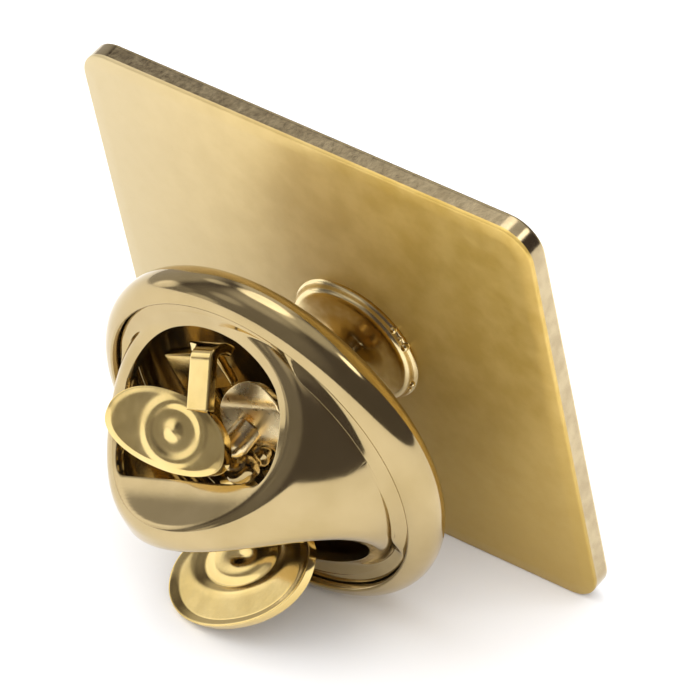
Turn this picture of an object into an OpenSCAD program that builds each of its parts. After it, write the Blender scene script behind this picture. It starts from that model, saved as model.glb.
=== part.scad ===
// Lapel pin with a butterfly clutch, standing on its bottom edge.
// The plate leans over its clutch: the plate's bottom edge, the clutch's rim and
// the lower wing carry it.
// Millimetres. +Z is up, +X runs along the plate's bottom edge, and -Y is the
// side that the clutch is on. The origin is on the floor, under the middle of
// the object's box.

/* [Plate] */
// Width of the plate, along its bottom edge
plate_w = 15.6; // [14:0.1:18]
// Height of the plate, along its side
plate_h = 14.5; // [13.8:0.1:15.5]
// Thickness of the plate
plate_t = 0.70; // [0.6:0.05:1.2]
// Radius of the plate's corners, seen from the front
corner_r = 1.0; // [0.6:0.1:2]
// Width of the worn bevel round the back face
bevel_w = 0.45; // [0.2:0.05:0.6]
// How far the back face falls over that bevel
bevel_drop = 0.05; // [0.02:0.01:0.1]
// Size of the broken edge between bevel and side
edge_break = 0.06; // [0.02:0.01:0.1]

/* [Post] */
// Distance of the post from the plate's centre, along the bottom edge
post_x = 0.55; // [-1:0.05:1]
// Distance of the post from the plate's centre, up the plate
post_y = -0.40; // [-1:0.05:0.6]
// Radius of the post
post_r = 0.50; // [0.4:0.05:0.55]
// Radius of the soldered foot of the post
pad_r = 2.00; // [1.2:0.05:2.4]
// Height of that foot
pad_h = 0.45; // [0.2:0.05:0.8]
// Radius of the groove that the clutch grips
groove_r = 0.38; // [0.3:0.01:0.45]

/* [Clutch] */
// Height of the rim's middle above the plate's back face
clutch_lift = 3.82; // [2.2:0.01:4.5]
// Turn of the clutch about its post
clutch_turn = 24; // [0:1:40]
// Outside radius of the rolled rim
rim_r = 5.70; // [5.5:0.05:6]
// Radius of the roll, seen in section
roll_r = 0.72; // [0.6:0.01:0.8]
// Thickness of the brass sheet
sheet = 0.30; // [0.2:0.01:0.35]
// Radius of the hole for the post
hole_r = 0.58; // [0.56:0.01:0.8]

/* [Cap] */
// Radius of the dome at its foot
dome_r = 4.70; // [4.6:0.05:4.8]
// Height of the dome's rounded part
dome_h = 4.05; // [3.6:0.05:4.4]
// Radius of the hollow flank in front of each window
flank_r = 5.9; // [5.5:0.1:6.5]
// Radius of the windows' outer edge, seen from above
window_r = 4.20; // [4:0.05:4.3]
// Half of the windows' width
window_half = 3.38; // [3:0.02:3.5]
// Half of the bridge between the windows
bridge_half = 0.93; // [0.8:0.01:1.3]

/* [Wings] */
// Half of the upper wing's width
upper_half = 2.60; // [2.4:0.05:3]
// Half of the lower wing's width
lower_half = 2.90; // [2.4:0.05:3]
// How far the upper wing is turned in its own plane
upper_twist = 12; // [0:1:14]
// How far the lower wing is turned in its own plane
lower_twist = 10; // [0:1:14]
// Tilt of the upper wing: over 90 it leans in over its window
upper_tilt = 132.5; // [110:0.5:135]
// Tilt of the lower wing: under 90 it spreads out
lower_tilt = 49.5; // [40:0.5:80]

/* [Hidden] */
$fn = 64;
eps = 0.01;

// Lean of the plate, from upright towards its clutch
lean = 16;
// Middle of the object's box across the plate
mid_y = 2.75;
// Height of the plate's centre above the floor
rest_z = plate_h / 2 * cos(lean) - (bevel_drop + edge_break) * sin(lean);
// Rounding where the plate's front face meets its sides
front_round = 0.10;

// The soldered foot sits a little off the post's axis; its flare lies on the
// plate, and its top is rounded off over pad_top
pad_off = [0.08, 0.30];
pad_flare = 0.10;
pad_edge = 0.02;
pad_top = 0.20;
pad_side = 0.05;
// The shank flares towards the foot over this height
neck_h = 0.30;

// The rim's roll: its centre, seen in section, with z from the rim's middle
roll_x = rim_r - roll_r;
roll_z = -0.06;
// The roll is open towards the cap, and ends a little past its top
roll_end = 80;

// Foot of the dome's rounded part, and the number of steps in its section
dome_z = 0.60;
dome_steps = 18;
// Axes of the hollows of the upper and of the lower flank
flank_y = [6.07, -6.20];
flank_z = 6.04;
// Radius of the windows' corners
window_round = 0.60;
// The flat foot inside the roll: underside, radius and thickness
foot_z = -0.24;
foot_r = 5.20;
foot_t = 0.22;
// The wall flares out towards the roll's end: [radius, z] points, from the top
flare_path = [[4.67, 1.12], [4.72, 0.86], [4.82, 0.68], [4.98, 0.58]];
flare_low = 0.28;
// Where a hollow cuts the flare away, a flange of this height is left
flange_top = 0.46;

// The post's groove and its point, with z from the rim's middle
groove_z = 1.05;
groove_h = 0.28;
tip_z = 1.95;
tip_h = 0.45;
// The blunt point: its two radii, and the height between them
tip_r = [0.275, 0.15, 0.08];

// A lever's arm passes beside the post at this height and distance
arm_z = 0.45;
arm_in = 0.58;
arm_round = 0.30;
// Beyond the post it rises to a flat foot, whose end is bent down
heel = [-0.75, 1.05];
crest = [-2.20, 1.15];
toe = [-2.60, 0.80];
// The arm's rounded corners end this far past the heel, under the foot's plan
arm_lap = 0.40;
// Nothing of a lever reaches past this radius, inside the cap
lever_r = 4.00;
// The nib on the foot, leaning towards the post
nib_at = [-1.00, -1.25, 1.05];
nib_lean = [-18, 26, 0];
nib_r = 0.40;
nib_h = 0.66;

// A wing's outline: 1 is an ellipse, less is fuller; and the degrees per step
wing_power = 0.93;
wing_step = 7.5;
// The embossed ring on a wing: its radius, half widths and height; and its boss
ring_r = 0.80;
ring_w = [0.20, 0.10];
ring_t = 0.07;
boss_r = 0.25;

// The upper wing: middle, reach up and down, and where its ring sits
upper_at = [-0.52, 2.03, 2.67];
upper_oval = [0.82, 1.26];
upper_ring = [0.40, -0.27];
// Its neck as [y, z] points, from the wing down to the arm
upper_neck = [[2.67, 1.97], [3.74, 1.0], [3.62, 0.58], [3.30, 0.42]];
// The neck's sides, and the sides and start of its wider root, seen from above
upper_neck_x = [0.30, 1.20];
upper_root_x = [-0.30, 1.20];
upper_root_y = 3.22;
// The root ends at this height
upper_root_z = 0.78;
// The arm's outer side, and its wide part: inner side, start and end
upper_out = 1.85;
upper_link = [0.42, 2.1, 3.5];
// The foot's round end: radius, and distance of its middle from the post
upper_end = [0.90, -1.48];

// The same for the lower wing, in its own frame, half a turn round
lower_at = [0.90, 2.76, 2.62];
lower_oval = [1.62, 1.35];
lower_ring = [0, -0.35];
lower_neck = [[2.18, 1.93], [1.72, 1.40], [1.30, 0.60]];
lower_neck_x = [-1.45, 0.28];
lower_neck_y = 1.2;
lower_out = 2.90;
lower_link = [0.45, 0.75, 1.3];
lower_end = [1.85, -1.75];

// Points of a flat strip of sheet that follows a path, mitred at its bends
function unit(v) = v / norm(v);
function side(v) = [-v[1], v[0]];
function leg(path, i) = unit(path[i + 1] - path[i]);
function mitre(path, i) =
    let (last = len(path) - 1,
         before = leg(path, max(i - 1, 0)),
         after = leg(path, min(i, last - 1)),
         n = unit(side(before) + side(after)))
    n / (n * side(after));
function strip(path, t) = concat(
    [for (i = [0 : len(path) - 1]) path[i] + mitre(path, i) * t / 2],
    [for (i = [len(path) - 1 : -1 : 0]) path[i] - mitre(path, i) * t / 2]);

// Everything is drawn in the plate's own frame: x along its bottom edge, y up
// its side and z out of its back face, from the middle of that face
module stand() {
    translate([0, mid_y, rest_z])
        rotate([90 + lean, 0, 0])
            children();
}

// The clutch's frame: z along the post, y towards the upper wing
module at_clutch() {
    stand()
        translate([post_x, post_y, clutch_lift])
            rotate([0, 0, clutch_turn])
                children();
}

// Section of the plate's edge, x outwards from the centre of a corner
module edge_section() {
    polygon([
        [0, -plate_t],
        [corner_r - front_round, -plate_t],
        [corner_r, -plate_t + front_round],
        [corner_r, -bevel_drop - edge_break],
        [corner_r - edge_break, -bevel_drop],
        [corner_r - edge_break - bevel_w, 0],
        [0, 0]]);
}

module plate_body() {
    dx = plate_w / 2 - corner_r;
    dy = plate_h / 2 - corner_r;
    translate([-dx, -dy, -plate_t])
        cube([2 * dx, 2 * dy, plate_t]);
    for (sx = [-1, 1], sy = [-1, 1])
        translate([sx * dx, sy * dy, 0])
            rotate_extrude()
                edge_section();
    for (turn = [0, 180]) {
        rotate([0, 0, turn])
            translate([dx, dy, 0])
                rotate([90, 0, 0])
                    linear_extrude(2 * dy)
                        edge_section();
        rotate([0, 0, turn + 90])
            translate([dy, dx, 0])
                rotate([90, 0, 0])
                    linear_extrude(2 * dx)
                        edge_section();
    }
}

// The soldered foot, turned in one section
module foot_section() {
    polygon([
        [0, -plate_t / 2],
        [pad_r + pad_flare, -plate_t / 2],
        [pad_r + pad_flare, pad_edge],
        [pad_r, pad_flare],
        [pad_r - pad_side, pad_h - pad_top / 2],
        [pad_r - pad_top, pad_h],
        [0, pad_h]]);
}

// Shank, gripped groove and blunt point
module post_section() {
    groove = clutch_lift + groove_z;
    tip = clutch_lift + tip_z;
    polygon([
        [0, 0],
        [post_r + neck_h, 0],
        [post_r + neck_h, pad_h],
        [post_r, pad_h + neck_h],
        [post_r, groove - groove_h / 2],
        [groove_r, groove],
        [post_r, groove + groove_h / 2],
        [post_r, tip - tip_h],
        [tip_r[0], tip - tip_r[2]],
        [tip_r[1], tip],
        [0, tip]]);
}

module badge() {
    color("#b08d3c")
        stand() {
            plate_body();
            translate([post_x + pad_off[0], post_y + pad_off[1], 0])
                rotate_extrude()
                    foot_section();
            translate([post_x, post_y, 0])
                rotate_extrude()
                    post_section();
        }
}

// A ring sector, for cutting the roll's open side
module roll_mouth() {
    reach = 2 * roll_r;
    polygon([
        [0, 0],
        reach * [cos(roll_end), sin(roll_end)],
        reach * [-1, 1],
        reach * [-1, -1],
        [0, -reach]]);
}

module base_section() {
    translate([roll_x, roll_z])
        difference() {
            circle(roll_r);
            circle(roll_r - sheet);
            roll_mouth();
        }
    translate([hole_r, roll_z - roll_r])
        square([roll_x - hole_r + eps, sheet]);
}

module clutch_base() {
    color("#c9a550")
        at_clutch()
            rotate_extrude()
                base_section();
}

// Half of a dome's section: an elliptic crown on a straight foot
module dome_section(r, h, foot) {
    polygon(concat(
        [[0, foot], [r, foot]],
        [for (i = [0 : dome_steps])
            let (a = 90 * i / dome_steps)
            [r * cos(a), dome_z + h * sin(a)]]));
}

// The hollows that shape both flanks, with this radius
module flank_hollows(r) {
    for (y = flank_y)
        translate([0, y, flank_z])
            rotate([0, 90, 0])
                cylinder(r = r, h = 4 * dome_r, center = true);
}

// A dome with hollow flanks, filled: the outer or the inner face of the sheet
module flanked_dome(r, h, foot, hollow) {
    difference() {
        rotate_extrude()
            dome_section(r, h, foot);
        flank_hollows(hollow);
    }
}

// A rectangle with round corners, from one corner to the other
module round_box(p, q, r) {
    translate([p[0] + r, p[1]])
        square([q[0] - p[0] - 2 * r, q[1] - p[1]]);
    translate([p[0], p[1] + r])
        square([q[0] - p[0], q[1] - p[1] - 2 * r]);
    for (x = [p[0] + r, q[0] - r], y = [p[1] + r, q[1] - r])
        translate([x, y])
            circle(r);
}

// Plan of one window: round towards the rim, straight towards the bridge
module window_plan() {
    intersection() {
        circle(window_r);
        round_box([-window_half, bridge_half], [window_half, 2 * window_r], window_round);
    }
}

// Section of the flare, on top of the cap's foot
module flare_section() {
    last = len(flare_path) - 1;
    wall_r = dome_r - sheet / 2;
    polygon(concat(
        [[wall_r, 0], [wall_r, flare_path[0][1]]],
        flare_path,
        [[flare_path[last][0], flare_low]]));
}

module clutch_cap() {
    color("#cdaa58")
        at_clutch() {
            difference() {
                flanked_dome(dome_r, dome_h, foot_z, flank_r);
                flanked_dome(dome_r - sheet, dome_h - sheet, foot_z - sheet, flank_r + sheet);
                for (turn = [0, 180])
                    rotate([0, 0, turn])
                        translate([0, 0, foot_z - eps])
                            linear_extrude(2 * dome_h)
                                window_plan();
            }
            difference() {
                rotate_extrude()
                    flare_section();
                flank_hollows(flank_r);
            }
            rotate_extrude() {
                translate([window_r, flare_low])
                    square([flare_path[len(flare_path) - 1][0] - window_r, flange_top - flare_low]);
                translate([dome_r - sheet, foot_z])
                    square([foot_r - dome_r + sheet, foot_t]);
            }
        }
}

// Outline of a wing: a wide oval, x across it and y towards its free end
module wing_plan(half, up, down) {
    function bulge(c) = sign(c) * pow(abs(c), wing_power);
    polygon([for (a = [0 : wing_step : 360 - wing_step])
        [half * bulge(cos(a)),
         (sin(a) > 0 ? up : down) * bulge(sin(a))]]);
}

// Section of the embossed ring, from its own middle
module ring_section() {
    half = sheet / 2;
    polygon([
        [-ring_w[0], half - eps],
        [-ring_w[1], half + ring_t],
        [ring_w[1], half + ring_t],
        [ring_w[0], half - eps],
        [ring_w[0], eps - half],
        [ring_w[1], -half - ring_t],
        [-ring_w[1], -half - ring_t],
        [-ring_w[0], eps - half]]);
}

// One wing, with the ring and the boss that stiffen it
module wing(half, oval, ring, twist) {
    rotate([0, 0, twist]) {
        linear_extrude(sheet, center = true)
            wing_plan(half, oval[0], oval[1]);
        translate(ring) {
            rotate_extrude()
                translate([ring_r, 0])
                    ring_section();
            cylinder(r = boss_r, h = sheet + 2 * ring_t, center = true);
        }
    }
}

// Sheet bent along a path of [y, z] points and cut to a plan seen from above
module bent(path, plan_half) {
    intersection() {
        translate([-plan_half, 0, 0])
            rotate([90, 0, 90])
                linear_extrude(2 * plan_half)
                    polygon(strip(path, sheet));
        translate([0, 0, -lever_r])
            linear_extrude(2 * lever_r)
                intersection() {
                    circle(lever_r);
                    children();
                }
    }
}

// Plan of a foot: a tongue with a round end, no wider than its arm outside
module foot_plan(arm_out, end) {
    intersection() {
        translate([end[1], toe[0] + end[0]])
            circle(end[0]);
        translate([-arm_out, toe[0]])
            square([2 * arm_out, heel[0] - toe[0]]);
    }
}

module nib() {
    translate(nib_at)
        rotate(nib_lean)
            rotate_extrude()
                intersection() {
                    union() {
                        square([nib_r, nib_h]);
                        translate([0, nib_h])
                            circle(nib_r);
                    }
                    square([nib_r, nib_h + nib_r]);
                }
}

// A lever: the neck that carries its wing, the arm that passes the post, the
// foot beyond it, and the nib that stands on the foot beside the post
module lever(neck, link, neck_x, neck_y, arm_out, end) {
    path = concat(neck, [[0, arm_z], heel, crest, toe]);
    bent(path, lever_r) {
        round_box([-arm_out, heel[0] - arm_lap], [-arm_in, link[2]], arm_round);
        round_box([-arm_out, link[1]], [link[0], link[2]], arm_round);
        foot_plan(arm_out, end);
        translate([neck_x[0], neck_y])
            square([neck_x[1] - neck_x[0], lever_r]);
    }
    nib();
}

module upper_wing() {
    color("#bf9a45")
        at_clutch() {
            translate(upper_at)
                rotate([upper_tilt, 0, 0])
                    wing(upper_half, upper_oval, upper_ring, upper_twist);
            difference() {
                lever(upper_neck, upper_link, upper_root_x, upper_root_y, upper_out, upper_end);
                translate([-lever_r, upper_link[1], upper_root_z])
                    cube([2 * lever_r, lever_r, lever_r]);
            }
            bent(upper_neck, lever_r)
                translate([upper_neck_x[0], upper_link[1]])
                    square([upper_neck_x[1] - upper_neck_x[0], lever_r]);
        }
}

module lower_wing() {
    color("#d2b055")
        at_clutch()
            rotate([0, 0, 180]) {
                translate(lower_at)
                    rotate([lower_tilt, 0, 0])
                        wing(lower_half, lower_oval, lower_ring, lower_twist);
                lever(lower_neck, lower_link, lower_neck_x, lower_neck_y, lower_out, lower_end);
            }
}

badge();
clutch_base();
clutch_cap();
upper_wing();
lower_wing();
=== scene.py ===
import math
import bpy
import numpy as np
from mathutils import Matrix, Vector


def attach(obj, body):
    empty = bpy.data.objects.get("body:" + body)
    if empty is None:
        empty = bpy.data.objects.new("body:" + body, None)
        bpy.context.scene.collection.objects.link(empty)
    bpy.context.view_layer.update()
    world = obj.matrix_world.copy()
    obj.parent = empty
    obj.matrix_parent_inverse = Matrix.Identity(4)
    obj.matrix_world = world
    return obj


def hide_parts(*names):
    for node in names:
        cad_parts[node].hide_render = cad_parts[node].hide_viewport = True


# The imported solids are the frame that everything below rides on
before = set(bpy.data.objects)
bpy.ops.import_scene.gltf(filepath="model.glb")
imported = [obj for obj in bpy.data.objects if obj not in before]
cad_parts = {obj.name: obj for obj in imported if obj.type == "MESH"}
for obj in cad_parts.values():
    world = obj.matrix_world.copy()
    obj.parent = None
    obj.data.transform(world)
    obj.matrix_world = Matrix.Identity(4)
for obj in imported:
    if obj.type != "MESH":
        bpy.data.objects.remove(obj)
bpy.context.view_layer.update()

# Dimensions of the pin, in millimetres, as in the part's source
MM = 0.001
LEAN = 16.0
PLATE_W, PLATE_H, PLATE_T = 15.6, 14.5, 0.70
CORNER = 1.0
BREAK, DROP, BEVEL = 0.06, 0.05, 0.45
MID_Y = 2.75
POST_X, POST_Y, POST_R = 0.55, -0.40, 0.50
PAD_R = 2.0
PAD_OFF = (0.08, 0.30)
LIFT, TURN = 3.82, 24.0
RIM_R, ROLL_R, ROLL_Z, SHEET = 5.70, 0.72, -0.06, 0.30
HOLE_R = 0.58
DOME_R, DOME_H, DOME_Z = 4.70, 4.05, 0.60
FLANK_R, FLANK_Z = 5.9, 6.04
FLANK_Y = (6.07, -6.20)
WINDOW_R, WINDOW_HALF, BRIDGE, WINDOW_ROUND = 4.20, 3.38, 0.93, 0.60
FLANGE = 0.46
TIP_Z, GROOVE_Z, GROOVE_R = 1.95, 1.05, 0.38
HEEL, TOE = -0.75, -2.60

# The dressed sheets are a little thinner than the solids' sheet
SKIN = SHEET * 0.9

lean = math.radians(LEAN)
REST_Z = PLATE_H / 2 * math.cos(lean) - (DROP + BREAK) * math.sin(lean)


def shift(x, y, z):
    return Matrix.Translation((x, y, z))


def turn(degrees, axis):
    return Matrix.Rotation(math.radians(degrees), 4, axis)


# Frames of the plate, its foot, its post and the clutch
STAND = shift(0, MID_Y, REST_Z) @ turn(90 + LEAN, "X")
PAD = STAND @ shift(POST_X + PAD_OFF[0], POST_Y + PAD_OFF[1], 0)
POST = STAND @ shift(POST_X, POST_Y, 0)
CLUTCH = STAND @ shift(POST_X, POST_Y, LIFT) @ turn(TURN, "Z")


# Meshes

def add_mesh(name, verts, faces, matrix, body, mats):
    """A smooth mesh from points in millimetres in the given frame, riding on a body."""
    mesh = bpy.data.meshes.new(name)
    mesh.from_pydata([tuple((matrix @ Vector(v)) * MM) for v in verts], [], faces)
    mesh.validate()
    mesh.update()
    mesh.polygons.foreach_set("use_smooth", [True] * len(mesh.polygons))
    obj = bpy.data.objects.new(name, mesh)
    bpy.context.scene.collection.objects.link(obj)
    for m in mats:
        mesh.materials.append(m)
    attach(obj, body)
    return obj


def thicken(obj, bevel, segments, offset=0.0):
    """Gives a sheet its thickness, and rounds its cut edges."""
    solid = obj.modifiers.new("sheet", "SOLIDIFY")
    solid.thickness = SKIN * MM
    solid.offset = offset
    edge = obj.modifiers.new("edge", "BEVEL")
    edge.width = bevel * MM
    edge.segments = segments
    edge.limit_method = "ANGLE"
    edge.angle_limit = math.radians(50)


def grid_faces(rows, cols):
    """Quads of a grid of points, closed round its columns."""
    faces = []
    for i in range(rows - 1):
        for j in range(cols):
            k = (j + 1) % cols
            faces.append((i * cols + j, i * cols + k, (i + 1) * cols + k, (i + 1) * cols + j))
    return faces


def revolve(name, profile, matrix, body, mat, steps, wobble=None):
    """A profile of (radius, z) points turned round z."""
    verts = []
    for r, z in profile:
        for j in range(steps):
            a = 2 * math.pi * j / steps
            rr = r if wobble is None else wobble(r, a)
            verts.append((rr * math.cos(a), rr * math.sin(a), z))
    faces = grid_faces(len(profile), steps)
    return add_mesh(name, verts, faces, matrix, body, [mat])


def arc(cx, cz, r, start, end, n):
    """Points of an arc, angles in degrees."""
    angles = np.radians(np.linspace(start, end, n))
    return [(cx + r * math.cos(a), cz + r * math.sin(a)) for a in angles]


def smooth(x, lo, hi):
    """Eases from 0 at lo to 1 at hi."""
    t = np.clip((np.asarray(x, float) - lo) / (hi - lo), 0, 1)
    return t * t * (3 - 2 * t)


def lengths_along(points):
    """The way covered at each point of a line, from its start."""
    return np.r_[0, np.cumsum(np.linalg.norm(np.diff(points, axis=0), axis=1))]


def sample(points, along, places):
    """The points of a flat line at the given places."""
    return np.c_[np.interp(places, along, points[:, 0]), np.interp(places, along, points[:, 1])]


# Materials

GRAIN_SCALE = 9000
# Painted shade near the floor: how much darker the colour turns, and the heights in metres over which it
# fades out
FLOOR_SHADE = 0.76
FLOOR_SHADE_Z = (0.001, 0.0085)
# Painted sheen: where the plate's colour turns paler towards -X, the lit side
SHEEN_X = (0.003, -0.008)


def mixer(nt, a, b, factor):
    """A node that mixes two colours, each a triple or a socket."""
    mix = nt.nodes.new("ShaderNodeMix")
    mix.data_type = "RGBA"
    for name, colour in (("A", a), ("B", b)):
        if isinstance(colour, tuple):
            mix.inputs[name].default_value = (*colour, 1)
        else:
            nt.links.new(colour, mix.inputs[name])
    nt.links.new(factor, mix.inputs["Factor"])
    return mix


def brass(name, low, high, rough, mottle, grain, dent, metallic=1.0, sheen_colour=None):
    """Polished or satin brass: mottled colour, uneven gloss, fine grain and soft dents.

    If a sheen colour is given, a painted sheen turns the colour to it towards -X, the lit side, and
    painted shade darkens it near the floor."""
    m = bpy.data.materials.new(name)
    m.use_nodes = True
    nt = m.node_tree
    bsdf = nt.nodes["Principled BSDF"]
    bsdf.inputs["Metallic"].default_value = metallic
    coord = nt.nodes.new("ShaderNodeTexCoord")

    def noise(scale, detail):
        n = nt.nodes.new("ShaderNodeTexNoise")
        n.inputs["Scale"].default_value = scale
        n.inputs["Detail"].default_value = detail
        n.inputs["Roughness"].default_value = 0.55
        nt.links.new(coord.outputs["Object"], n.inputs["Vector"])
        return n.outputs["Fac"]

    def remap(value, start, end, lo=0, hi=1):
        n = nt.nodes.new("ShaderNodeMapRange")
        n.inputs["From Min"].default_value = start
        n.inputs["From Max"].default_value = end
        n.inputs["To Min"].default_value = lo
        n.inputs["To Max"].default_value = hi
        nt.links.new(value, n.inputs["Value"])
        return n.outputs["Result"]

    def bump(height, strength, distance):
        n = nt.nodes.new("ShaderNodeBump")
        n.inputs["Strength"].default_value = strength
        n.inputs["Distance"].default_value = distance
        nt.links.new(height, n.inputs["Height"])
        return n

    colour = mixer(nt, low, high, remap(noise(mottle, 5), 0.36, 0.64)).outputs["Result"]
    if sheen_colour:
        place = nt.nodes.new("ShaderNodeSeparateXYZ")
        nt.links.new(coord.outputs["Object"], place.inputs["Vector"])
        # Painted shade: the colour darkens near the floor
        shaded = tuple(FLOOR_SHADE * v for v in low)
        colour = mixer(nt, shaded, colour, remap(place.outputs["Z"], *FLOOR_SHADE_Z)).outputs["Result"]
        # Painted sheen: the colour turns paler towards -X, the lit side
        colour = mixer(nt, colour, sheen_colour, remap(place.outputs["X"], *SHEEN_X)).outputs["Result"]
    nt.links.new(colour, bsdf.inputs["Base Color"])
    nt.links.new(remap(noise(mottle * 3, 4), 0.3, 0.7, *rough), bsdf.inputs["Roughness"])
    fine = bump(noise(GRAIN_SCALE, 3), grain, 0.00001)
    soft = bump(noise(dent[0], 2), dent[1], 0.0001)
    nt.links.new(fine.outputs["Normal"], soft.inputs["Normal"])
    nt.links.new(soft.outputs["Normal"], bsdf.inputs["Normal"])
    return m


# The plate's brass carries a painted sheen, paler towards -X, and painted shade near the floor
plate_brass = brass("plate_brass", (0.56, 0.375, 0.085), (0.65, 0.455, 0.13), (0.28, 0.38),
                    mottle=1100, grain=0.08, dent=(700, 0.015),
                    metallic=0.55, sheen_colour=(0.54, 0.44, 0.25))
front_brass = brass("front_brass", (0.60, 0.47, 0.23), (0.66, 0.52, 0.27), (0.24, 0.32),
                    mottle=800, grain=0.06, dent=(600, 0.01))
edge_brass = brass("edge_brass", (0.42, 0.33, 0.19), (0.52, 0.42, 0.25), (0.12, 0.20),
                   mottle=2000, grain=0.10, dent=(1500, 0.03))
clutch_brass = brass("clutch_brass", (0.43, 0.328, 0.158), (0.475, 0.366, 0.187), (0.08, 0.13),
                     mottle=700, grain=0.05, dent=(500, 0.03), metallic=0.97)
wing_brass = brass("wing_brass", (0.74, 0.55, 0.21), (0.80, 0.61, 0.26), (0.10, 0.17),
                   mottle=700, grain=0.05, dent=(600, 0.03))
lever_brass = brass("lever_brass", (0.86, 0.68, 0.36), (0.92, 0.75, 0.43), (0.24, 0.32),
                    mottle=700, grain=0.05, dent=(600, 0.02))
solder = brass("solder", (0.76, 0.61, 0.31), (0.84, 0.69, 0.38), (0.14, 0.22),
               mottle=1200, grain=0.06, dent=(900, 0.06))


# Plate

FRONT_ROUND = 0.10
WORN_STEEP = 1.6
# Rows of the plate's section that are its front and its side
FRONT_ROWS, SIDE_ROWS = 7, 13


def plate_loop(inset, z, per_corner=14):
    """One loop round the plate, inset from its side."""
    pts = []
    r = CORNER - inset
    for cx, cy, start in ((1, 1, 0), (-1, 1, 90), (-1, -1, 180), (1, -1, 270)):
        x0 = cx * (PLATE_W / 2 - CORNER)
        y0 = cy * (PLATE_H / 2 - CORNER)
        for k in range(per_corner):
            a = math.radians(start + 90 * k / (per_corner - 1))
            pts.append((x0 + r * math.cos(a), y0 + r * math.sin(a), z))
    return pts


def plate_section():
    """Inset and height of each loop, from the front face over the side to the worn bevel."""
    rows = [(0.60, -PLATE_T), (0.30, -PLATE_T)]
    for a in np.linspace(0, math.pi / 2, 6):
        rows.append((FRONT_ROUND * (1 - math.sin(a)), -PLATE_T + FRONT_ROUND * (1 - math.cos(a))))
    rows += [(0.0, z) for z in np.linspace(-PLATE_T + 0.16, -0.16, 6)]
    for a in np.linspace(0, math.pi / 2 * 0.93, 5):
        rows.append((BREAK - BREAK * math.cos(a), -DROP - BREAK + BREAK * math.sin(a)))
    rows += [(BREAK + BEVEL * t, -DROP * (1 - t) ** WORN_STEEP) for t in np.linspace(0.04, 1, 8)]
    return rows + [(0.62, 0.0)]


def add_plate():
    loops = [plate_loop(inset, z) for inset, z in plate_section()]
    n = len(loops[0])
    verts = [p for loop in loops for p in loop]
    faces = grid_faces(len(loops), n)
    front = len(faces)
    faces.append(tuple(reversed(range(n))))
    faces.append(tuple((len(loops) - 1) * n + k for k in range(n)))
    plate = add_mesh("plate", verts, faces, STAND, "pin", [plate_brass, edge_brass, front_brass])
    for f in plate.data.polygons:
        row = f.vertices[0] // n
        if f.index < front and FRONT_ROWS <= row < SIDE_ROWS:
            f.material_index = 1
        elif f.index == front or row < FRONT_ROWS:
            f.material_index = 2
    flat = plate.modifiers.new("flat", "WEIGHTED_NORMAL")
    flat.mode = "FACE_AREA"
    flat.keep_sharp = False
    return plate


# Soldered foot with small beads, and the post

def uneven(r, a):
    """The solder's edge isn't quite round."""
    k = 0.006 * math.sin(3 * a + 0.8) + 0.003 * math.sin(7 * a)
    return r * (1 + k * (r > 1.2))


def add_foot():
    profile = [(PAD_R + 0.14, -0.01), (PAD_R + 0.07, 0.03), (PAD_R + 0.03, 0.09)]
    profile += arc(PAD_R - 0.20, 0.17, 0.22, 0, 85, 12)
    profile += [(1.6, 0.40), (1.3, 0.405), (1.0, 0.42), (0.75, 0.50), (0.5, 0.7), (0.3, 0.75), (0.0, 0.75)]
    pad = revolve("foot", profile, PAD, "pin", solder, 128, uneven)
    for angle, size in ((62, 0.10), (53, 0.07), (45, 0.14), (2, 0.09), (-7, 0.06)):
        place = PAD @ turn(angle - TURN, "Z") @ shift(PAD_R + 0.02, 0, 0.10)
        bead = revolve("bead_%d" % (angle + 10), arc(0, 0, size, -60, 90, 9), place, "pin", solder, 20)


def add_post():
    tip = LIFT + TIP_Z
    groove = LIFT + GROOVE_Z
    neck = POST_R - 0.03
    profile = [(POST_R + 0.35, 0.35), (POST_R + 0.22, 0.50), (POST_R + 0.08, 0.64), (POST_R, 0.82)]
    profile += [(POST_R, z) for z in np.linspace(1.0, groove - 0.22, 10)]
    profile += [(neck, groove - 0.15), (GROOVE_R, groove - 0.05), (GROOVE_R, groove + 0.05)]
    profile += [(neck, groove + 0.15), (POST_R, groove + 0.2), (POST_R, tip - 0.45)]
    profile += [(0.45, tip - 0.32), (0.36, tip - 0.18), (0.24, tip - 0.07), (0.12, tip - 0.01), (0, tip)]
    post = revolve("post", profile, POST, "pin", clutch_brass, 64)


plate = add_plate()
add_foot()
add_post()
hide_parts("badge")


# Clutch base: a floor with a hole, and the rolled rim

def add_base():
    roll_x = RIM_R - ROLL_R
    low = ROLL_Z - ROLL_R
    top = low + SHEET
    profile = [(HOLE_R, top), (HOLE_R, low + 0.15), (HOLE_R, low + 0.05), (HOLE_R + 0.05, low)]
    profile += [(r, low) for r in np.linspace(1.0, roll_x - 0.3, 8)]
    profile += arc(roll_x, ROLL_Z, ROLL_R, -90, 70, 44)
    # The sheet's rounded end, turned in over the cap's foot
    profile += arc(roll_x + 0.165, ROLL_Z + ROLL_R - 0.085, 0.075, 70, 165, 8)
    profile += [(roll_x + 0.085, 0.45), (roll_x + 0.08, 0.36)]
    profile += arc(roll_x, ROLL_Z, ROLL_R - SHEET, 72, -90, 20)
    profile += [(r, top) for r in np.linspace(roll_x - 0.3, HOLE_R + 0.2, 8)]
    profile += [(HOLE_R, top)]
    base = revolve("rim", profile, CLUTCH, "clutch", clutch_brass, 192)
    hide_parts("clutch_base")


add_base()


# Clutch cap: a dome cut by a hollow flank on each side, with softened creases

CREASE = 0.36
# Radius of the grid's outer end, just inside the dome's foot
CAP_EDGE = DOME_R * 0.9985
# Middle from which the grid's columns run out
CAP_CENTRE = np.array([0.0, 2.2])
# The wall under the dome's foot, flared into the roll: radius and height
CAP_WALL = [(4.705, 0.82), (4.73, 0.72), (4.775, 0.64), (4.84, 0.565), (4.91, 0.505), (4.98, 0.46),
            (5.02, 0.42), (5.03, 0.34), (5.02, 0.24), (4.95, 0.16), (4.80, 0.10)]


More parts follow.
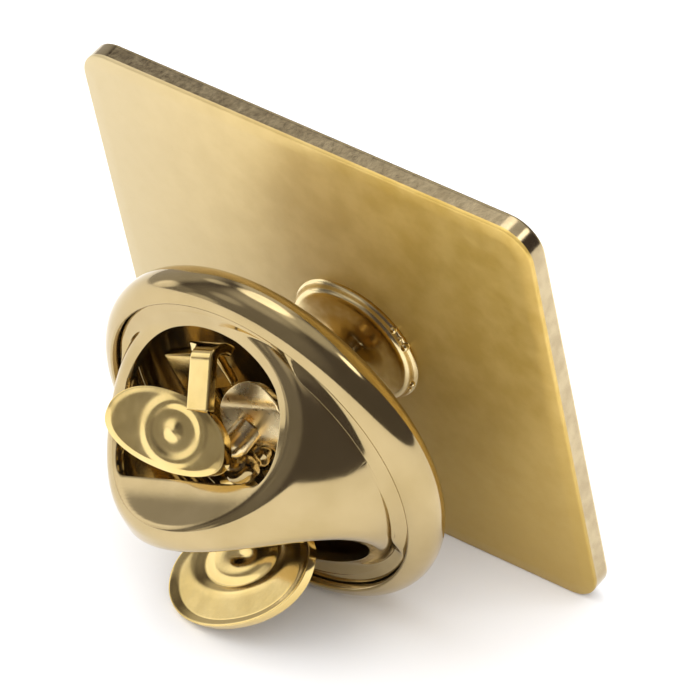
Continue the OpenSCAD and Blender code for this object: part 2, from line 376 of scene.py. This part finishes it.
def cap_field(x, y, z):
    """Below zero inside the cap's outer surface."""
    crown = (np.maximum(z - DOME_Z, 0) / DOME_H) ** 2
    field = (np.sqrt((x * x + y * y) / DOME_R ** 2 + crown) - 1) * DOME_R
    for fy in FLANK_Y:
        cut = FLANK_R - np.sqrt((y - fy) ** 2 + (z - FLANK_Z) ** 2)
        h = np.clip(0.5 + 0.5 * (field - cut) / CREASE, 0, 1)
        field = cut * (1 - h) + field * h + CREASE * h * (1 - h)
    return field


def cap_height(x, y):
    """The highest point of the outer surface above each place."""
    step = 0.04
    z = np.full(np.shape(x), DOME_Z + DOME_H + 0.4)
    found = np.zeros(np.shape(x), bool)
    for _ in range(140):
        found |= cap_field(x, y, z) < 0
        z = np.where(found, z, z - step)
    lo, hi = z, z + step
    for _ in range(24):
        mid = (lo + hi) / 2
        inside = cap_field(x, y, mid) < 0
        lo, hi = np.where(inside, mid, lo), np.where(inside, hi, mid)
    return (lo + hi) / 2


def window_outline(count):
    """The upper window's outline, evenly spaced, from above; x across, y away from the bridge."""
    r = WINDOW_ROUND
    top = math.degrees(math.acos(WINDOW_HALF / WINDOW_R))
    side_end = WINDOW_R * math.sin(math.radians(top)) - 0.30
    first = top + 4
    pts = arc(WINDOW_HALF - r, BRIDGE + r, r, -90, 0, 10)
    pts.append((WINDOW_HALF, side_end))
    for a in np.linspace(first, 180 - first, 60):
        rr = WINDOW_R - 0.02 * math.exp(-((min(a, 180 - a) - first) / 4) ** 2)
        pts.append((rr * math.cos(math.radians(a)), rr * math.sin(math.radians(a))))
    pts.append((-WINDOW_HALF, side_end))
    pts += arc(-WINDOW_HALF + r, BRIDGE + r, r, 180, 270, 10)
    pts.append(pts[0])
    pts = np.array(pts)
    along = lengths_along(pts)
    return sample(pts, along, np.linspace(0, along[-1], count, endpoint=False))


def outward(inner):
    """Where the columns from these points end, and which of them end on the dome's foot."""
    direction = inner - CAP_CENTRE
    direction /= np.linalg.norm(direction, axis=1)[:, None]
    b = (direction * CAP_CENTRE).sum(1)
    far = -b + np.sqrt(b * b - (CAP_CENTRE @ CAP_CENTRE - CAP_EDGE * CAP_EDGE))
    falling = direction[:, 1] < -1e-9
    down = np.where(falling, -CAP_CENTRE[1] / np.minimum(direction[:, 1], -1e-9), 1e9)
    return CAP_CENTRE + direction * np.minimum(far, down)[:, None], far <= down


def half_cap(side, rings=34, count=320):
    """Grid of points from a window's outline out to the cap's foot and the ridge line."""
    # Columns are spaced by the length of both ends, because the ridge falls steeply at its foot
    dense = window_outline(4000)
    dense = np.vstack([dense, dense[:1]])
    rim, _ = outward(dense)
    rim = np.c_[rim, cap_height(rim[:, 0], rim[:, 1] * side)]
    ends = [lengths_along(c) for c in (dense, rim)]
    along = ends[0] / ends[0][-1] + ends[1] / ends[1][-1]
    inner = sample(dense, along, np.linspace(0, along[-1], count, endpoint=False))
    outer, on_wall = outward(inner)
    for end in (CAP_EDGE, -CAP_EDGE):
        corner = int(np.argmin(np.hypot(outer[:, 0] - end, outer[:, 1])))
        outer[corner] = (end, 0)
        on_wall[corner] = True
    # Rows crowd towards the dome's foot, where its side turns upright
    crowd = np.sin(np.linspace(0, math.pi / 2 * 0.96, rings))
    pts = np.array([inner + (outer - inner) * t for t in crowd / crowd[-1]])
    x, y = pts[..., 0], pts[..., 1] * side
    # A flange stays where the hollow flank would run below the roll's end
    z = cap_height(x, y)
    low = FLANGE - z
    outside = smooth(np.hypot(x, y), WINDOW_R - 0.1, WINDOW_R) > 0
    z += np.where(outside, (low + np.sqrt(low * low + 0.03 ** 2)) / 2, 0)
    return x, y, z, on_wall


def add_cap():
    verts, faces = [], []

    def add_face(quad, side):
        faces.append(tuple(quad if side < 0 else reversed(quad)))

    for side in (1, -1):
        x, y, z, on_wall = half_cap(side)
        rows, cols = x.shape
        start = len(verts)
        verts += [tuple(p) for p in np.stack([x, y, z], -1).reshape(-1, 3)]
        for quad in grid_faces(rows, cols):
            add_face([start + v for v in quad], side)
        last = start + (rows - 1) * cols
        above = [last + j for j in range(cols)]
        for step, (r, z) in enumerate(CAP_WALL):
            below = []
            for j in range(cols):
                px, py, pz = verts[last + j]
                out = r / CAP_EDGE
                below.append(len(verts))
                verts.append((px * out, py * out, min(z, pz - 0.004 * (step + 1))))
            for j in range(cols):
                k = (j + 1) % cols
                if on_wall[j] and on_wall[k]:
                    add_face([above[j], above[k], below[k], below[j]], side)
            above = below
    cap = add_mesh("cap", verts, faces, CLUTCH, "clutch", [clutch_brass])
    weld = cap.modifiers.new("weld", "WELD")
    weld.merge_threshold = 0.002 * MM
    thicken(cap, 0.07, 3, offset=-1.0)
    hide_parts("clutch_cap")


add_cap()


# Wings: an embossed oval tab on a lever

# Rows of a tab crowd towards its rim, and its oval is a little squarer than an ellipse
TAB_CROWD, TAB_SQUARE = 0.85, 0.93
TAB_ROWS, TAB_COLS = 40, 144
# The embossed ring: radius and width; the dimple in its middle: depth and width
RING_R, RING_W = 0.80, 0.16
DIMPLE, DIMPLE_W = 0.05, 0.22
LIP = 0.86


def wing_tab(name, matrix, half, up, down, ring, body, curl, emboss, wide):
    """A tab with a curled lip and an embossed oval ring, as high as the solid's ring and wider."""
    outline = []
    for j in range(TAB_COLS):
        a = 2 * math.pi * j / TAB_COLS
        c, s = math.cos(a), math.sin(a)
        x = half * math.copysign(abs(c) ** TAB_SQUARE, c)
        y = (up if s > 0 else down) * math.copysign(abs(s) ** TAB_SQUARE, s)
        outline.append((x, y))
    rows = [(i / TAB_ROWS) ** TAB_CROWD for i in range(1, TAB_ROWS + 1)]
    flat = [(0, 0, 0)] + [(x * rho, y * rho, rho) for rho in rows for x, y in outline]
    verts = []
    for x, y, rho in flat:
        d = math.hypot((x - ring[0]) / wide, y - ring[1])
        z = -emboss * math.exp(-((d - RING_R) / RING_W) ** 2) - DIMPLE * math.exp(-(d / DIMPLE_W) ** 2)
        z += curl * float(smooth(rho, LIP, 1.0)) * (0.3 + 0.7 * float(smooth(y, -0.4, 0.4)))
        verts.append((x, y, z))
    faces = [(0, 1 + j, 1 + (j + 1) % TAB_COLS) for j in range(TAB_COLS)]
    faces += [(a + 1, d + 1, c + 1, b + 1) for a, b, c, d in grid_faces(TAB_ROWS, TAB_COLS)]
    tab = add_mesh(name, verts, faces, matrix, body, [wing_brass])
    thicken(tab, 0.10, 4)
    return tab


def fillet(path, radius, spacing=0.04):
    """A path of (y, z) points with its bends rounded, sampled evenly."""
    pts = [np.array(path[0], float)]
    for a, b, c in zip(path, path[1:], path[2:]):
        a, b, c = (np.array(q, float) for q in (a, b, c))
        before, after = np.linalg.norm(a - b), np.linalg.norm(c - b)
        cut = min(radius, 0.45 * before, 0.45 * after)
        p, q = b + (a - b) / before * cut, b + (c - b) / after * cut
        for t in np.linspace(0, 1, 12):
            pts.append(p * (1 - t) ** 2 + 2 * b * t * (1 - t) + q * t * t)
    pts.append(np.array(path[-1], float))
    pts = np.array(pts)
    along = lengths_along(pts)
    return sample(pts, along, np.r_[np.arange(0, along[-1], spacing), along[-1]])


def strip_section(half, r):
    """Corners of a strip's rounded section: side, inset from that side, height over the middle."""
    points = []
    for side, up in ((1, -1), (1, 1), (0, 1), (0, -1)):
        corner = [(side, 1.6 * r, up * half)]
        corner += [(side, r - c, up * (half - r + s)) for c, s in arc(0, 0, r, 90, 0, 5)]
        points += corner if side != (up > 0) else corner[::-1]
    return points[::-1]


def lever(name, matrix, path, sides, body, mat):
    """A bent strip along a path; sides gives both of its edges at each place."""
    pts = fillet(path, 0.32)
    along = np.gradient(pts, axis=0)
    along /= np.linalg.norm(along, axis=1)[:, None]
    section = strip_section(SKIN / 2, 0.05)
    verts = []
    for (y, z), (ty, tz) in zip(pts, along):
        x0, x1 = sides(y, z)
        for side, inset, w in section:
            inset = min(inset, (x1 - x0) / 2)
            verts.append((x1 - inset if side else x0 + inset, y - tz * w, z + ty * w))
    cols = len(section)
    faces = grid_faces(len(pts), cols)
    faces += [tuple(range(cols)), tuple(range(len(verts) - 1, len(verts) - 1 - cols, -1))]
    strip = add_mesh(name, verts, faces, matrix, body, [mat])


def arm_sides(link, neck, neck_y, out, end, root=None):
    """Both sides of a lever from its neck, over the link, to its foot's round end.

    The neck that comes down from a high root shifts its left side to the root's."""
    arm_in, ease = -0.58, 0.22

    def sides(y, z):
        if y < HEEL:
            reach_x = math.sqrt(max(0.0, end[0] ** 2 - (y - TOE - end[0]) ** 2))
            return max(-out, end[1] - reach_x), max(-out + 0.05, end[1] + reach_x)
        left = neck[0]
        past_neck = float(smooth(-y, -neck_y, -neck_y + ease))
        past_link = float(smooth(-y, -link[1] - 0.1, -link[1] + 0.1))
        if root is not None:
            left += (root - neck[0]) * float(smooth(-z, -0.85, -0.65))
            if y >= 0 and z >= 0.7:
                past_neck = 0.0
        x0 = left + (-out - left) * past_neck
        x1 = neck[1] + (link[0] - neck[1]) * past_neck
        x1 += (arm_in - link[0]) * past_link
        return x0, x1
    return sides


def nib(name, matrix, body):
    """The round-ended pin on a lever's foot, leaning towards the post."""
    r, height = 0.40, 0.66
    place = matrix @ shift(-1.00, -1.25, 1.05) @ turn(26, "Y") @ turn(-18, "X")
    profile = [(r, 0.0), (r, 0.3), (r, 0.5), (r, height)] + arc(0, height, r, 5, 90, 12)
    piece = revolve(name, profile, place, body, lever_brass, 48)


FOOT_PATH = [(0, 0.45), (HEEL, 1.05), (-2.20, 1.15), (TOE, 0.80)]

upper = CLUTCH
tab_place = upper @ shift(-0.52, 2.03, 2.67) @ turn(131.5, "X") @ turn(-2, "Y") @ turn(12, "Z")
upper_tab = wing_tab("upper_tab", tab_place, half=2.60, up=0.82, down=1.26, ring=(0.40, -0.27),
                     body="upper_lever", curl=0.05, emboss=0.030, wide=1.45)
lever("upper_arm", upper, [(2.57, 2.08), (3.74, 1.0), (3.62, 0.58), (3.30, 0.42)] + FOOT_PATH,
      arm_sides(link=(0.42, 2.1), neck=(0.30, 1.20), neck_y=3.36, out=1.85, end=(0.90, -1.48), root=-0.30),
      "upper_lever", wing_brass)
nib("upper_nib", upper, "upper_lever")
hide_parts("upper_wing")

lower = CLUTCH @ turn(180, "Z")
LOWER_UP = 1.62
tab_place = lower @ shift(0.90, 2.76, 2.62) @ turn(49.5, "X")
# Tilted a little more about its free end
tab_place = tab_place @ shift(0, LOWER_UP, 0) @ turn(3, "X") @ shift(0, -LOWER_UP, 0) @ turn(10, "Z")
lower_tab = wing_tab("lower_tab", tab_place, half=2.90, up=LOWER_UP, down=1.35, ring=(0.0, -0.35),
                     body="lower_lever", curl=0.06, emboss=0.075, wide=1.9)
lever("lower_arm", lower, [(2.18, 1.93), (1.72, 1.40), (1.30, 0.60)] + FOOT_PATH,
      arm_sides(link=(0.45, 0.75), neck=(-1.45, 0.28), neck_y=1.35, out=2.90, end=(1.85, -1.75)),
      "lower_lever", lever_brass)
nib("lower_nib", lower, "lower_lever")
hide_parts("lower_wing")


# Camera, floor and light

SENSOR, FOCAL_PX, IMAGE_PX = 36.0, 8000, 700
FLOOR_HALF = 1.5
FILL_AWAY, FILL_SIZE = 0.5, 0.7


def add_camera():
    data = bpy.data.cameras.new("camera")
    data.sensor_width = SENSOR
    data.lens = SENSOR * FOCAL_PX / IMAGE_PX
    data.clip_start = 0.01
    cam = bpy.data.objects.new("camera", data)
    cam.rotation_mode = "QUATERNION"
    cam.location = (0.114361, -0.144239, 0.127561)
    cam.rotation_quaternion = (0.828876, 0.452399, 0.149705, 0.293066)
    bpy.context.scene.collection.objects.link(cam)
    bpy.context.scene.camera = cam


def add_floor():
    """A plain pale sheet under the pin."""
    m = bpy.data.materials.new("floor")
    m.use_nodes = True
    nt = m.node_tree
    bsdf = nt.nodes["Principled BSDF"]
    bsdf.inputs["Roughness"].default_value = 0.6
    coord = nt.nodes.new("ShaderNodeTexCoord")
    grain = nt.nodes.new("ShaderNodeTexNoise")
    grain.inputs["Scale"].default_value = 60
    nt.links.new(coord.outputs["Object"], grain.inputs["Vector"])
    pale = mixer(nt, (0.86, 0.86, 0.87), (0.88, 0.88, 0.88), grain.outputs["Fac"])
    nt.links.new(pale.outputs["Result"], bsdf.inputs["Base Color"])
    mesh = bpy.data.meshes.new("floor")
    s = FLOOR_HALF
    mesh.from_pydata([(-s, -s, 0), (s, -s, 0), (s, s, 0), (-s, s, 0)], [], [(0, 1, 2, 3)])
    mesh.materials.append(m)
    obj = bpy.data.objects.new("floor", mesh)
    bpy.context.scene.collection.objects.link(obj)


def toward(azimuth, elevation):
    """The unit vector from the pin to that azimuth and elevation."""
    a, e = math.radians(azimuth), math.radians(elevation)
    return Vector((math.sin(a) * math.cos(e), -math.cos(a) * math.cos(e), math.sin(e)))


def reach(nt, vector, direction, start, end):
    """How far a vector goes along a direction: 0 up to start, 1 from end on."""
    dot = nt.nodes.new("ShaderNodeVectorMath")
    dot.operation = "DOT_PRODUCT"
    dot.inputs[1].default_value = direction
    nt.links.new(vector, dot.inputs[0])
    span = nt.nodes.new("ShaderNodeMapRange")
    span.interpolation_type = "SMOOTHSTEP"
    span.inputs["From Min"].default_value = start
    span.inputs["From Max"].default_value = end
    nt.links.new(dot.outputs["Value"], span.inputs["Value"])
    return span.outputs["Result"]


def add_room(base, glows):
    """A dim room with round soft glows: azimuth, elevation, radius, softness and radiance."""
    world = bpy.data.worlds.new("room")
    world.use_nodes = True
    nt = world.node_tree
    back = nt.nodes["Background"]
    coord = nt.nodes.new("ShaderNodeTexCoord")
    total = None
    for azimuth, elevation, radius, soft, radiance in glows:
        outer = math.cos(math.radians(radius + soft))
        inner = math.cos(math.radians(max(0, radius - soft)))
        glow = reach(nt, coord.outputs["Generated"], toward(azimuth, elevation), outer, inner)
        add = nt.nodes.new("ShaderNodeMath")
        add.operation = "MULTIPLY_ADD"
        add.inputs[1].default_value = radiance
        add.inputs[2].default_value = 0
        nt.links.new(glow, add.inputs[0])
        if total:
            nt.links.new(total, add.inputs[2])
        total = add.outputs[0]
    bright = tuple(1 + v for v in base)
    tint = mixer(nt, base, bright, total)
    tint.clamp_factor = False
    nt.links.new(tint.outputs["Result"], back.inputs["Color"])
    bpy.context.scene.world = world


def add_light(name, azimuth, elevation, power):
    """A soft fill from that azimuth and elevation, too even to show as a highlight."""
    place = toward(azimuth, elevation) * FILL_AWAY
    data = bpy.data.lights.new(name, "AREA")
    data.shape = "SQUARE"
    data.size = FILL_SIZE
    data.energy = power
    obj = bpy.data.objects.new(name, data)
    obj.location = place
    obj.rotation_euler = place.to_track_quat("Z", "Y").to_euler()
    obj.visible_glossy = False
    bpy.context.scene.collection.objects.link(obj)


add_camera()
add_floor()
add_room((0.085, 0.072, 0.074), [
    (-125, 70, 15, 3, 2.1),
    (-150, 48, 14, 5, 0.75),
    (-100, 44, 6, 3, 0.65),
    (150, 76, 20, 10, 0.65),
    (-45, 70, 20, 10, 0.42),
    (-20, 35, 35, 15, 0.16),
    (-77, 7, 9, 3, 1.15),
    (-45, 2, 7, 3, 0.6),
    (-106, 15, 27, 7, 0.42),
    (-42, 32, 8, 4, 0.33),
    (-61, 7, 8, 4, 0.20),
    (118, 50, 7, 2, 3.2)])
add_light("fill_back", -160, 40, 0.9)
add_light("fill_left", -75, 35, 1.9)
add_light("fill_right", 100, 35, 1.9)
add_light("fill_front", 15, 45, 3.6)
bpy.context.scene.view_settings.view_transform = "Standard"
